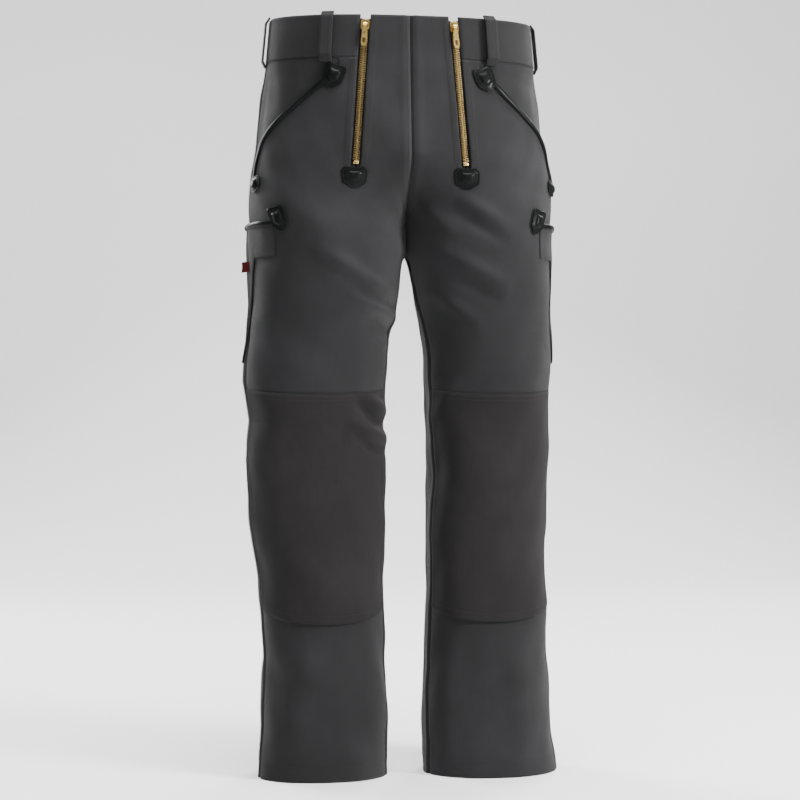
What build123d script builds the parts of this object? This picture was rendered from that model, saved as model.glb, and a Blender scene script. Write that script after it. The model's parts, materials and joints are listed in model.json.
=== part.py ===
from build123d import *
from math import copysign, cos, hypot, pi, sin
import os

# Guild-style work trousers, hollow and standing on their hems as if worn.
# X is across the body with the wearer's left on +X, -Y is the front, Z is up, and the
# origin is on the floor between the legs. All sizes are in millimetres.

# Driving sizes
waist_level = 1080.0
band_level = 1018.0
crotch_level = 752.0
cloth = 1.5
lining = 0.8
leather = 2.0
fullness = 2.25
knee_top = 548.0
knee_bottom = 228.0
pouch_gap = 5.8
back_pocket_gap = 8.4
hip_pocket_depth = 12.2
front_join_level = 885.0
back_join_level = 925.0
waist_slope = 0.06
body_shift = -8.0

# Zip sizes
zip_top_x = 62.0
zip_bottom_x = 78.0
zip_top_level = 1074.0
zip_bottom_level = 862.0
slot_half = 7.0
tape_width = 14.0
tape_depth = -2.6
tooth_pitch = 3.2
tooth_length = 4.3
tooth_height = 2.6
slider_length = 14.0
slider_half = 5.9
slider_travel = 184.0
bail_height = 4.9
bail_radius = 1.0
bail_clearance = 0.06
puller_length = 31.0
puller_thickness = 1.6

# Leather patch sizes, across and up, with the places of their centres
zip_patch_size = (36, 29)
zip_patch_level = 843
hip_patch_size = (27, 35)
hip_patch_place = (107, 988)
hip_patch_turn = 12
side_patch_size = (30, 23)
side_patch_level = 841
side_patch_forward = 24
ruler_patch_size = (20, 36)
ruler_patch_place = (183, 790)
ruler_patch_turn = 14

# Pocket, belt loop and label sizes
hip_mouth_foot = 842
bag_foot = 766
side_pocket_bottom = 590
side_pocket_top = 786
back_pocket_bottom = 800
back_pocket_top = 955
hem_depth = 32
loop_width = 18.0
loop_height = 72.0
loop_strap = 1.6
label_size = (10, 1.2, 15)
label_place = (-231, -8, 727)
layer_gap = 0.3

# Level, inner side, outer side, front depth and back depth of one half of the garment
form_levels = [
    (0, 28, 216, 68, 70),
    (60, 26, 211, 68, 70),
    (170, 30, 204, 70, 72),
    (300, 31, 208, 73, 75),
    (480, 31, 216, 79, 80),
    (592, 29, 218, 88, 91),
    (680, 14, 217, 99, 106),
    (735, 4, 217, 106, 115),
    (crotch_level, 0, 217, 108, 118),
    (850, 0, 216, 114, 126),
    (960, 0, 202, 103, 114),
    (band_level, 0, 194, 97, 105),
    (waist_level, 0, 188, 92, 99),
]

# Levels at which the cloth's cross-sections are drawn, with straight cloth between them
section_levels = [0, 60, 120, 180, 260, 340, 420, 480, 540, 600, 650, 700, 735, 752, 770]
section_levels += [790, 812, 835, 860, 890, 925, 970, 1018, 1050, 1080]


def ease(value, start, end):
    # Smooth step from 0 at start to 1 at end
    t = min(1.0, max(0.0, (value - start) / (end - start)))
    return t * t * (3 - 2 * t)


def form_at(level):
    # Smooth curve through the form levels, with a slope at each from its neighbours
    last = len(form_levels) - 2
    row = min(last, max(0, sum(1 for f in form_levels if f[0] <= level) - 1))
    low, high = form_levels[row], form_levels[row + 1]
    before = form_levels[max(0, row - 1)]
    after = form_levels[min(len(form_levels) - 1, row + 2)]
    span = high[0] - low[0]
    t = (level - low[0]) / span
    values = []
    for i in range(1, 5):
        slope_low = (high[i] - before[i]) / (high[0] - before[0]) * span
        slope_high = (after[i] - low[i]) / (after[0] - low[0]) * span
        part_low = (2 * t**3 - 3 * t**2 + 1) * low[i] + (t**3 - 2 * t**2 + t) * slope_low
        part_high = (3 * t**2 - 2 * t**3) * high[i] + (t**3 - t**2) * slope_high
        values.append(part_low + part_high)
    return values


def rounded(value):
    # Fuller than a plain ellipse
    return copysign(abs(value) ** (2 / fullness), value)


def plan_point(phi, level):
    # Phi runs from the inseam or front seam at 0, round the side at 0.5, to the back at 1.
    # Below the crotch the section is a leg, above it half of the seat, and between a blend.
    inner, outer, front, back = form_at(level)
    depth = front if phi < 0.5 else back
    leg_angle = 2 * pi * phi - pi
    leg_x = (inner + outer) / 2 + (outer - inner) / 2 * rounded(cos(leg_angle))
    leg_y = depth * rounded(sin(leg_angle))
    seat_angle = pi * phi - pi / 2
    seat_x = outer * rounded(cos(seat_angle))
    seat_y = depth * rounded(sin(seat_angle))
    join_level = front_join_level if phi < 0.5 else back_join_level
    share = ease(level, crotch_level, join_level)
    side_share = ease(level, crotch_level, back_join_level)
    near_side = 1 - abs(2 * phi - 1)
    share += (side_share - share) * near_side**2
    return leg_x + (seat_x - leg_x) * share, leg_y + (seat_y - leg_y) * share


def offset_point(phi, level, offset):
    # A point moved outwards by offset from the cloth's outer face, within its own section
    step = 0.004
    x, y = plan_point(phi, level)
    x_before, y_before = plan_point(phi - step, level)
    x_after, y_after = plan_point(phi + step, level)
    run, rise = x_after - x_before, y_after - y_before
    length = hypot(run, rise)
    return x + offset * rise / length, y - offset * run / length


def skin_point(phi, level, offset):
    # A point on the straight line between the two drawn sections nearest to the level
    above = next((l for l in section_levels if l > level), section_levels[-1])
    below = section_levels[section_levels.index(above) - 1]
    share = (level - below) / (above - below)
    x_below, y_below = offset_point(phi, below, offset)
    x_above, y_above = offset_point(phi, above, offset)
    x = x_below + (x_above - x_below) * share
    y = y_below + (y_above - y_below) * share
    height = level + waist_slope * ease(level, 900, waist_level) * y
    return Vector(x, y + body_shift, height)


def depth_at(setting, phi, level):
    return setting(phi, level) if callable(setting) else setting


def strip_section(start, end, level, inner, outer):
    count = max(4, round((end - start) / 0.045))
    phis = [start + (end - start) * i / count for i in range(count + 1)]
    outside = [skin_point(p, level, depth_at(outer, p, level)) for p in phis]
    inside = [skin_point(p, level, depth_at(inner, p, level)) for p in phis]
    edges = [
        Edge.make_spline(outside),
        Edge.make_line(outside[-1], inside[-1]),
        Edge.make_spline(inside[::-1]),
        Edge.make_line(inside[0], outside[0]),
    ]
    return Wire(edges)


def strip(start, end, bottom, top, inner, outer):
    # A curved layer that follows the body between two faces given as depths off the cloth
    between = [level for level in section_levels if bottom < level < top]
    sections = [strip_section(start, end, l, inner, outer) for l in [bottom, *between, top]]
    return Solid.make_loft(sections, ruled=True)


def front_prism(points, curve_count=0):
    # An outline given as x and z, pushed through the front half. The first curve_count
    # points are joined by one smooth curve.
    places = [Vector(x, 0, z) for x, z in points]
    if curve_count:
        edges = [Edge.make_spline(places[:curve_count])]
        rest = places[curve_count - 1 :] + [places[0]]
        edges += [Edge.make_line(a, b) for a, b in zip(rest, rest[1:])]
        face = Face(Wire(edges))
    else:
        face = Face(Wire.make_polygon(places, close=True))
    return Solid.extrude(face, Vector(0, -260, 0))


def side_prism(points):
    # An outline given as y and z, pushed out through the wearer's left side
    face = Face(Wire.make_polygon([Vector(120, y, z) for y, z in points], close=True))
    return Solid.extrude(face, Vector(140, 0, 0))


def only_solid(shape):
    # The largest solid of a cut or shared volume
    return max(shape.solids(), key=lambda solid: solid.volume)


def save(name, shape):
    export_step(shape, f"parts/{name}.step")


def save_pair(name, shape):
    save(f"{name}_left", shape)
    save(f"{name}_right", mirror(shape, about=Plane.YZ))


def zip_line_x(level, shift=0.0):
    share = (level - zip_bottom_level) / (zip_top_level - zip_bottom_level)
    return zip_bottom_x + (zip_top_x - zip_bottom_x) * share + shift


# Mouth of the hip pocket, from the belt end down to the side seam, as x and z
mouth_points = [(112, 989), (134, 969), (158, 949), (184, 924), (202, 899), (210, 872)]
mouth_points.append((213, hip_mouth_foot))


def pocket_mouth_prism():
    # Everything outboard of the hip pocket's mouth and up to the waistband
    corners = [(260, hip_mouth_foot), (260, 1100), (112, 1100)]
    return front_prism([*mouth_points, *corners], len(mouth_points))


def centre_half():
    # Room for the wearer's left half only, so the halves meet at the centre seam
    return Pos(200, 0, 500) * Box(400, 600, 1300)


def front_panel():
    panel = strip(0, 0.5, 0, band_level, -cloth, 0) & centre_half()
    flap_room = front_prism([
        (-20, zip_bottom_level - 6),
        (zip_line_x(zip_bottom_level - 6, slot_half), zip_bottom_level - 6),
        (zip_line_x(1100, slot_half), 1100),
        (-20, 1100),
    ])
    return only_solid(panel - flap_room - pocket_mouth_prism())


def fly_flap():
    # The half of the front flap beside the centre seam, up to the waistband's top
    layer = strip(0, 0.32, zip_bottom_level - 6, waist_level, -cloth, 0) & centre_half()
    room = front_prism([
        (-20, 800),
        (zip_line_x(800, -slot_half), 800),
        (zip_line_x(1100, -slot_half), 1100),
        (-20, 1100),
    ])
    return only_solid(layer & room)


def back_panel():
    return only_solid(strip(0.5, 1, 0, band_level, -cloth, 0) & centre_half())


def front_waistband():
    band = strip(0, 0.5, band_level + 0.3, waist_level, -cloth, 0.4)
    room = front_prism([
        (zip_line_x(900, slot_half), 900),
        (260, 900),
        (260, 1200),
        (zip_line_x(1200, slot_half), 1200),
    ])
    return only_solid(band & room)


def back_waistband():
    return only_solid(strip(0.5, 1, band_level + 0.3, waist_level, -cloth, 0.4) & centre_half())


def waistband_lining():
    outer = -cloth - layer_gap
    band = strip(0.17, 1, band_level + 0.4, waist_level - 3, outer - lining, outer)
    return only_solid(band & centre_half())


def facing_depth(phi, level):
    # The facing lies level with the cloth at the side seam and the waistband, and dips
    # behind the front panel to open the hip pocket
    dip = ease(0.5 - phi, 0.0, 0.06) * ease(band_level - level, 0, 34)
    return -0.2 - (hip_pocket_depth - 1.4) * dip


def pocket_facing():
    foot = hip_mouth_foot + 1.2
    layer = strip(0.13, 0.495, foot, band_level, lambda p, l: facing_depth(p, l) - lining,
                  facing_depth)
    tuck = 16
    room = front_prism([
        (112.6, 1100), (112.6, 1004), (100, 985), (128, 954 - tuck), (165, 918 - tuck),
        (194, 880 - tuck), (200, 830), (260, 830), (260, 1100),
    ])
    return only_solid(layer & room)


def pocket_bag():
    # A pouch of thin lining behind the front panel, open along the pocket mouth
    front = -cloth - layer_gap
    layers = strip(0.1, 0.497, bag_foot, 985, -hip_pocket_depth - lining, front)
    hollow = strip(0.08, 0.505, bag_foot - 26, 1000, -hip_pocket_depth, front - lining)
    body = front_prism([
        (108, 985), (134, 964), (158, 944), (184, 919), (199, 894), (205, 870), (207, 842),
        (206, 800), (180, 772), (130, 768), (102, 800), (96, 860), (96, 960),
    ])
    inside = front_prism([
        (98, 999), (140, 999), (166, 955), (192, 930), (216, 899), (230, 872), (230, 846),
        (203, 842), (203, 802), (178, 774.5), (132, 770.5), (104.5, 802), (98, 862),
    ])
    return only_solid((layers & body) - (hollow & inside))


def pocket_piping():
    # A leather cord-edge along the mouth, 5 mm wide on the face of the cloth
    half = 2.7
    upper = [(x + half, z + half) for x, z in mouth_points]
    lower = [(x - half, z - half) for x, z in reversed(mouth_points)]
    edges = [
        Edge.make_spline([Vector(x, 0, z) for x, z in upper]),
        Edge.make_spline([Vector(x, 0, z) for x, z in lower]),
    ]
    edges.append(Edge.make_line(edges[0] @ 1, edges[1] @ 0))
    edges.append(Edge.make_line(edges[1] @ 1, edges[0] @ 0))
    band = Solid.extrude(Face(Wire(edges)), Vector(0, -260, 0))
    return only_solid(strip(0.1, 0.5, 830, 1005, 0.2, 0.2 + leather) & band)


def shield(x, z, width, height, turn=0.0):
    # Outline of a leather patch: flat top with cut corners and a blunt point below
    half, cut = width / 2, width / 5
    points = [
        (-half + cut, height / 2), (half - cut, height / 2), (half, height / 2 - cut),
        (half, -height / 4), (cut, -height / 2), (-cut, -height / 2),
        (-half, -height / 4), (-half, height / 2 - cut),
    ]
    c, s = cos(turn * pi / 180), sin(turn * pi / 180)
    return [(x + c * u - s * v, z + s * u + c * v) for u, v in points]


def front_patch(place, size, lift, turn=0.0):
    x, z = place
    bottom, top = z - size[1], min(z + size[1], band_level)
    layer = strip(0.03, 0.497, bottom, top, lift, lift + leather)
    return only_solid(layer & front_prism(shield(x, z, *size, turn)))


def zip_patch():
    return front_patch((zip_bottom_x + 1, zip_patch_level), zip_patch_size, 0.5)


def pocket_patch():
    return front_patch(hip_patch_place, hip_patch_size, 0.4 + leather, hip_patch_turn)


def side_patch():
    # Just in front of the side seam, over the lower end of the hip pocket's piping
    level = side_patch_level
    layer = strip(0.38, 0.56, level - 14, level + 14, 0.4 + leather, 0.4 + 2 * leather)
    outline = shield(body_shift - side_patch_forward, level, *side_patch_size)
    return only_solid(layer & side_prism(outline))


def pouch(start, end, bottom, top, open_top, gap=pouch_gap, seam=0.3):
    # A patch pocket: one outer layer that stands off the cloth and is sewn at its edges
    wall = 0.012
    outer_layer = strip(start, end, bottom, top, seam, seam + gap + cloth)
    low = bottom + 4 if open_top else bottom - 4
    high = top + 4 if open_top else top - 4
    hollow = strip(start + wall, end - wall, low, high, -1, seam + gap)
    return only_solid(outer_layer - hollow)


def knee_patch():
    return pouch(0.05, 0.465, knee_bottom, knee_top, False)


def side_pocket():
    # Ruler pocket on the side of the thigh, cut away below its front corner
    pocket = pouch(0.38, 0.66, side_pocket_bottom, side_pocket_top, True)
    cut_away = side_prism([(-140, 560), (-10, 560), (-10, 712), (-40, 738), (-140, 742)])
    return only_solid(pocket - cut_away)


def side_pocket_binding():
    lift = layer_gap + pouch_gap + cloth + 0.2
    low, high = side_pocket_top - 6, side_pocket_top + 1
    return strip(0.375, 0.665, low, high, lift, lift + leather)


def side_pocket_patch():
    x, z = ruler_patch_place
    lift = layer_gap + pouch_gap + cloth + 0.4 + leather
    layer = strip(0.3, 0.49, z - 25, z + 25, lift, lift + leather)
    outline = shield(x, z, *ruler_patch_size, ruler_patch_turn)
    return only_solid(layer & front_prism(outline))


def back_pocket():
    low, high = back_pocket_bottom, back_pocket_top
    return pouch(0.75, 0.93, low, high, True, back_pocket_gap - 0.3, 0.6)


def hem_facing():
    # The turned-up layer inside the bottom of the leg, open by a hair at the inseam
    outer = -cloth - layer_gap
    return strip(0.004, 0.996, 0.4, hem_depth, outer - cloth, outer)


def surface_plane(phi, level):
    # A plane on the cloth, its local y running up the body and its local z pointing out
    here = skin_point(phi, level, 0)
    up = (skin_point(phi, level + 20, 0) - skin_point(phi, level - 20, 0)).normalized()
    across = skin_point(phi + 0.01, level, 0) - skin_point(phi - 0.01, level, 0)
    outward = across.cross(up).normalized()
    return Plane(here, x_dir=up.cross(outward), z_dir=outward)


def belt_loop(phi, stand_off=7.4):
    # A folded strap sewn to the waistband at both ends, with room behind it for a belt
    strap = loop_strap
    low, high = -loop_height / 2, loop_height / 2
    foot, back = 7.0, 0.9
    outline = [
        (back, low), (back + strap, low), (back + stand_off, low + foot),
        (back + stand_off, high - foot), (back + strap, high), (back, high),
        (back, high - foot / 2), (back + strap, high - foot / 2),
        (back + stand_off - strap, high - foot - 1), (back + stand_off - strap, low + foot + 1),
        (back + strap, low + foot / 2), (back, low + foot / 2),
    ]
    wire = Wire.make_polygon([Vector(-loop_width / 2, v, n) for n, v in outline], close=True)
    strap_solid = Solid.extrude(Face(wire), Vector(loop_width, 0, 0))
    return surface_plane(phi, waist_level - 32).location * strap_solid


def flag_label():
    # A small woven tab folded into the side seam of the wearer's right leg, below the pocket
    return Pos(*label_place) * Box(*label_size)


def phi_of_x(x, level):
    # The front position that lies x from the centre seam
    low, high = 0.0, 0.5
    for _ in range(40):
        middle = (low + high) / 2
        if plan_point(middle, level)[0] < x:
            low = middle
        else:
            high = middle
    return low


def zip_plane():
    # Local y runs straight up the chain from its lower end, local z points out of the cloth
    bottom = skin_point(phi_of_x(zip_bottom_x, zip_bottom_level), zip_bottom_level, 0)
    top = skin_point(phi_of_x(zip_top_x, zip_top_level), zip_top_level, 0)
    middle_level = (zip_bottom_level + zip_top_level) / 2
    middle = phi_of_x(zip_line_x(middle_level), middle_level)
    across = skin_point(middle + 0.01, middle_level, 0) - skin_point(middle - 0.01, middle_level, 0)
    up = (top - bottom).normalized()
    outward = across.cross(up).normalized()
    return Plane(bottom, x_dir=up.cross(outward), z_dir=outward), (top - bottom).length


zip_place, zip_length = zip_plane()
slider_y = zip_length - slider_length - 2


def block(x, y, z):
    # A box given by its low and high limits along each local axis
    size = (x[1] - x[0], y[1] - y[0], z[1] - z[0])
    return Pos((x[0] + x[1]) / 2, (y[0] + y[1]) / 2, (z[0] + z[1]) / 2) * Box(*size)


def zip_tape(direction):
    edges = sorted([direction * 1.2, direction * (1.2 + tape_width)])
    return block(edges, (1.2, zip_length - 1), (tape_depth - 0.8, tape_depth))


def zip_teeth(direction):
    # Bars that cross the middle in turn with those of the other row
    teeth = []
    count = int((zip_length - 10) / tooth_pitch)
    start = 4 + (tooth_pitch / 2 if direction > 0 else 0)
    for i in range(count):
        y = start + i * tooth_pitch
        edges = sorted([-direction * 0.7, direction * tooth_length])
        teeth.append(block(edges, (y, y + 1.25), (tape_depth + 0.05, tape_depth + tooth_height)))
    return Compound(teeth)


def zip_stops():
    # The bottom stop across the chain and one small stop over the end of each row
    height = (tape_depth + 0.05, tape_depth + tooth_height + 0.3)
    stops = [block((-3.4, 3.4), (-1.5, 2.5), height)]
    for direction in (-1, 1):
        edges = sorted([direction * 1.6, direction * 4.2])
        stops.append(block(edges, (zip_length - 4.5, zip_length - 1.2), height))
    return Compound(stops)


def zip_slider():
    # A cover over the chain with two cheeks, and a bail that holds the puller's eye
    low, high = slider_y, slider_y + slider_length
    face = tape_depth + tooth_height + 0.5
    cover = block((-slider_half, slider_half), (low, high), (face, face + 1.4))
    cover = fillet(cover.edges().filter_by(Axis.Z), 2.4)
    bail_y = slider_y + slider_length / 2
    for direction in (-1, 1):
        cheek = sorted([direction * (tooth_length + 0.5), direction * slider_half])
        cover += block(cheek, (low + 2.5, high - 2.5), (tape_depth + 0.4, face + 0.5))
        post = sorted([direction * 2.9, direction * 4.5])
        cover += block(post, (bail_y - 1.6, bail_y + 1.6), (face + 1, bail_height + 1.2))
    bar = Cylinder(bail_radius, 8, rotation=(0, 90, 0))
    return cover + Pos(0, bail_y, bail_height) * bar


def zip_puller():
    # An eye round the bail and a tapering plate with a small hole and a larger slot
    bail_y = slider_y + slider_length / 2
    eye = Cylinder(2.3, 5.0, rotation=(0, 90, 0))
    neck = block((-2.5, 2.5), (-7, -0.5), (-puller_thickness / 2, puller_thickness / 2))
    outline = [(-2.5, -5), (2.5, -5), (3.4, -9), (4.4, -26), (2.8, -puller_length),
               (-2.8, -puller_length), (-4.4, -26), (-3.4, -9)]
    face = Face(Wire.make_polygon([Vector(x, y, -puller_thickness / 2) for x, y in outline],
                                  close=True))
    plate = Solid.extrude(face, Vector(0, 0, puller_thickness))
    puller = eye + neck + plate
    puller -= Cylinder(bail_radius + bail_clearance, 20, rotation=(0, 90, 0))
    puller -= Pos(0, -12, 0) * Cylinder(1.2, 10)
    slot = Box(4.2, 7.4, 10)
    puller -= Pos(0, -23, 0) * fillet(slot.edges().filter_by(Axis.Z), 1.6)
    return Pos(0, bail_y, bail_height) * puller


def zip_shield():
    # The guard of lining cloth that hangs behind the zip
    return block((-19, 19), (-7, zip_length - 4), (-7.6, -6.8))


def place_on_zip(shape):
    return zip_place.location * shape


os.makedirs("parts", exist_ok=True)

# Cut cloth
save_pair("front_panel", front_panel())
save_pair("fly_flap", fly_flap())
save_pair("back_panel", back_panel())
save_pair("front_waistband", front_waistband())
save_pair("back_waistband", back_waistband())
save_pair("waistband_lining", waistband_lining())
save_pair("hem_facing", hem_facing())

# Pockets and patches
save_pair("hip_pocket_facing", pocket_facing())
save_pair("hip_pocket_bag", pocket_bag())
save_pair("hip_pocket_piping", pocket_piping())
save_pair("hip_pocket_patch", pocket_patch())
save_pair("side_patch", side_patch())
save_pair("knee_patch", knee_patch())
save_pair("side_pocket", side_pocket())
save_pair("side_pocket_binding", side_pocket_binding())
save_pair("side_pocket_patch", side_pocket_patch())
save_pair("back_pocket", back_pocket())
save_pair("zip_patch", zip_patch())

save("flag_label_right", flag_label())

# Belt loops
save_pair("front_belt_loop", belt_loop(phi_of_x(115, waist_level - 32), 9.0))
save_pair("side_belt_loop", belt_loop(0.5))
save_pair("back_belt_loop", belt_loop(0.85, 9.0))
save("centre_belt_loop", belt_loop(1.0))

# Zips
save_pair("zip_inner_tape", place_on_zip(zip_tape(-1)))
save_pair("zip_outer_tape", place_on_zip(zip_tape(1)))
save_pair("zip_inner_teeth", place_on_zip(zip_teeth(-1)))
save_pair("zip_outer_teeth", place_on_zip(zip_teeth(1)))
save_pair("zip_stops", place_on_zip(zip_stops()))
save_pair("zip_shield", place_on_zip(zip_shield()))
save_pair("zip_slider", place_on_zip(zip_slider()))
save_pair("zip_puller", place_on_zip(zip_puller()))
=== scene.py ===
import json
import math
from functools import partial

import bmesh
import bpy
import numpy as np
from mathutils import Matrix, Vector


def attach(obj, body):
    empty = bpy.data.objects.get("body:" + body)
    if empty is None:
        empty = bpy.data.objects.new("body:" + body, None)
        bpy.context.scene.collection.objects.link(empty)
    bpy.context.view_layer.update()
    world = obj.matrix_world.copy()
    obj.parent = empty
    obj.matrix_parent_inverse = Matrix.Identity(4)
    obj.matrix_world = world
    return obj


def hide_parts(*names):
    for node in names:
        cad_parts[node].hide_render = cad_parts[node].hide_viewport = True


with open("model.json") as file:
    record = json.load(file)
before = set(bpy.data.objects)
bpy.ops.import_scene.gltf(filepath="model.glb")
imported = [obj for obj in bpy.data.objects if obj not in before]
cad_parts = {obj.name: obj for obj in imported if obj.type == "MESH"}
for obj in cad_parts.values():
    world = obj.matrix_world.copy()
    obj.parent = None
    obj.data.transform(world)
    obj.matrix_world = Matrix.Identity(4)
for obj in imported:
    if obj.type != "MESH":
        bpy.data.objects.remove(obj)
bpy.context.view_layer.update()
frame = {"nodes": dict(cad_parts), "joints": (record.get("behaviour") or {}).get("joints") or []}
joints = {joint["name"]: joint for joint in frame["joints"]}
mm = 0.001
print("stage: frame loaded")

# The garment's form in mm: level, inner side, outer side, front depth, back depth of one half
bodyForm = {
    "levels": [
        (0, 28, 216, 68, 70), (60, 26, 211, 68, 70), (170, 30, 204, 70, 72),
        (300, 31, 208, 73, 75), (480, 31, 216, 79, 80), (592, 29, 218, 88, 91),
        (680, 14, 217, 99, 106), (735, 4, 217, 106, 115), (752, 0, 217, 108, 118),
        (850, 0, 216, 114, 126), (960, 0, 202, 103, 114), (1018, 0, 194, 97, 105),
        (1080, 0, 188, 92, 99),
    ],
    "fullness": 2.25,
    "crotch": 752.0,
    "frontJoin": 885.0,
    "backJoin": 925.0,
    "waistSlope": 0.06,
    "shift": -8.0,
    "band": 1018.0,
    "waist": 1080.0,
}


def ease(value, start, end):
    t = np.clip((value - start) / (end - start), 0.0, 1.0)
    return t * t * (3 - 2 * t)


def bump(distance, centre, width):
    # 1 at the centre, next to nothing two widths away
    return np.exp(-(((distance - centre) / width) ** 2))


def formAt(level):
    # smooth curve through the form's levels
    rows = bodyForm["levels"]
    row = min(len(rows) - 2, max(0, sum(1 for r in rows if r[0] <= level) - 1))
    low, high = rows[row], rows[row + 1]
    before, after = rows[max(0, row - 1)], rows[min(len(rows) - 1, row + 2)]
    span = high[0] - low[0]
    t = (level - low[0]) / span
    out = []
    for i in range(1, 5):
        slopeLow = (high[i] - before[i]) / (high[0] - before[0]) * span
        slopeHigh = (after[i] - low[i]) / (after[0] - low[0]) * span
        value = (2 * t**3 - 3 * t**2 + 1) * low[i] + (t**3 - 2 * t**2 + t) * slopeLow
        out.append(value + (3 * t**2 - 2 * t**3) * high[i] + (t**3 - t**2) * slopeHigh)
    return out


formLevels = np.arange(0, 1081, 2.0)
formRows = np.array([formAt(level) for level in formLevels])


def rounded(value):
    return np.sign(value) * np.abs(value) ** (2 / bodyForm["fullness"])


def planPoint(phi, level):
    inner, outer, front, back = (np.interp(level, formLevels, formRows[:, i]) for i in range(4))
    depth = np.where(phi < 0.5, front, back)
    legAngle = 2 * np.pi * phi - np.pi
    legX = (inner + outer) / 2 + (outer - inner) / 2 * rounded(np.cos(legAngle))
    legY = depth * rounded(np.sin(legAngle))
    seatAngle = np.pi * phi - np.pi / 2
    seatX = outer * rounded(np.cos(seatAngle))
    seatY = depth * rounded(np.sin(seatAngle))
    join = np.where(phi < 0.5, bodyForm["frontJoin"], bodyForm["backJoin"])
    share = ease(level, bodyForm["crotch"], join)
    sideShare = ease(level, bodyForm["crotch"], bodyForm["backJoin"])
    share = share + (sideShare - share) * (1 - np.abs(2 * phi - 1)) ** 2
    return legX + (seatX - legX) * share, legY + (seatY - legY) * share


# Folds of the cloth: start and end as x and z, width and height, in mm, on the
# front of the right (-1) and left (1) leg and on the back of both (0)
folds = {
    -1: [
        ((126, 742), (44, 688), 13, 5.5), ((96, 706), (30, 668), 9, -4.5),
        ((84, 680), (22, 655), 10, 4.5), ((60, 660), (24, 630), 9, -3.0),
        ((70, 548), (36, 520), 8, 4.5), ((72, 528), (36, 500), 6, -4.5),
        ((80, 505), (34, 482), 8, 4.0), ((76, 484), (38, 462), 6, -3.5),
        ((205, 640), (120, 560), 22, 3.0), ((190, 330), (90, 270), 22, 2.5),
        ((200, 180), (80, 120), 20, 2.2), ((60, 215), (45, 60), 16, 2.4),
        ((150, 220), (165, 20), 22, 2.2), ((20, 800), (70, 770), 12, 3.0),
        ((30, 850), (90, 800), 14, -2.2), ((170, 830), (110, 760), 22, 2.2),
    ],
    1: [
        ((64, 825), (130, 783), 11, 3.4), ((60, 800), (128, 762), 9, -2.8),
        ((50, 742), (132, 700), 12, 3.8), ((40, 716), (120, 680), 10, -3.0),
        ((28, 690), (90, 650), 10, 3.0), ((205, 600), (110, 540), 24, 2.6),
        ((190, 350), (80, 300), 24, 2.4), ((205, 160), (100, 90), 22, 2.6),
        ((60, 200), (50, 30), 16, 2.4), ((150, 210), (160, 10), 22, 2.2),
        ((16, 815), (60, 770), 10, 2.6), ((60, 560), (34, 500), 10, 2.5),
        ((44, 470), (32, 400), 10, -2.2),
    ],
    0: [
        ((20, 760), (120, 700), 14, 5.0), ((24, 735), (120, 672), 10, -3.5),
        ((24, 712), (130, 640), 14, 4.5), ((60, 520), (190, 505), 13, 5.0),
        ((50, 492), (195, 482), 9, -4.0), ((55, 466), (190, 450), 12, 4.5),
        ((70, 430), (180, 418), 12, 3.0), ((20, 840), (90, 800), 16, 3.5),
        ((150, 860), (80, 780), 22, 3.0), ((60, 200), (170, 150), 20, 3.0),
        ((180, 110), (90, 60), 18, 2.5),
    ],
}
drape = {"fold": 1.9, "slack": 1.6}


def foldLift(side, phi, level, x):
    lift = np.zeros(np.broadcast(phi, level).shape)
    edge = np.clip(np.abs(phi - 0.5) * 14, 0, 1) * np.clip(np.minimum(phi, 1 - phi) * 30, 0.25, 1)
    for key in (side, 0):
        facing = np.where(phi > 0.5 if key == 0 else phi < 0.5, 1.0, 0.0)
        for start, end, width, height in folds[key]:
            along = np.array([end[0] - start[0], end[1] - start[1]], float)
            length = np.hypot(*along)
            t = ((x - start[0]) * along[0] + (level - start[1]) * along[1]) / length**2
            near = np.hypot(x - start[0] - np.clip(t, 0, 1) * along[0],
                            level - start[1] - np.clip(t, 0, 1) * along[1])
            taper = 0.35 + 0.65 * np.sin(np.pi * np.clip(t, 0, 1))
            lift += drape["fold"] * height * bump(near, 0, width) * taper * facing * edge
    # broad slack that keeps the cloth from looking machined
    slack = np.sin(level * 0.021 + 5 * phi + side) * np.sin(phi * 23 + level * 0.009 + 2 * side)
    slack = slack + 0.5 * np.sin(level * 0.053 - 17 * phi + 3 * side)
    slack = slack + 0.35 * np.sin(level * 0.031 + 41 * phi) * np.sin(level * 0.083 - 29 * phi + side)
    return lift + drape["slack"] * slack * (1 - 0.75 * ease(level, 960, 1030))


def outseamPhi(level):
    # the side seam runs a little forward of the widest point down the leg
    return 0.5 - 0.036 * (1 - ease(level, 640, 800))


def inseamPhi(level):
    return 0.05 * (1 - ease(level, 600, 750))


def seamLift(phi, level):
    # each seam lies in a small groove beside a ridge of turned cloth
    side = (phi - outseamPhi(level)) * 520
    lift = 1.3 * bump(side, 6, 4) - 2.4 * bump(side, 0, 2.4)
    legMiddle = (inseamPhi(level) - phi + np.where(phi > 0.5, 1.0, 0.0)) * 540
    topMiddle = np.minimum(phi, 1 - phi) * 560
    middle = np.where(level > 740, topMiddle, legMiddle)
    return lift + 1.2 * bump(middle, 6, 4) - 2.4 * bump(middle, 0, 2.4)


# How the worn legs lean and spread: level, then mm towards the wearer's left at the inside
# of both legs, at the outside of the right leg and at the outside of the left leg
legLean = np.array([
    (0, 6, 10, 11), (56, 6, 7, 10), (113, 5, 6, 10), (169, 5, 6, 7), (226, 6, 3, 6),
    (282, 6, 0, 3), (338, 6, -6, -1), (395, 7, -9, -1), (451, 7, -10, -1), (508, 6, -3, -1),
    (564, 5, -10, -1), (620, 7, -3, -2), (700, 8, 0, -2), (760, 6, 0, -2), (850, 0, 0, 0),
    (1080, 0, 0, 0),
], float)


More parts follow.
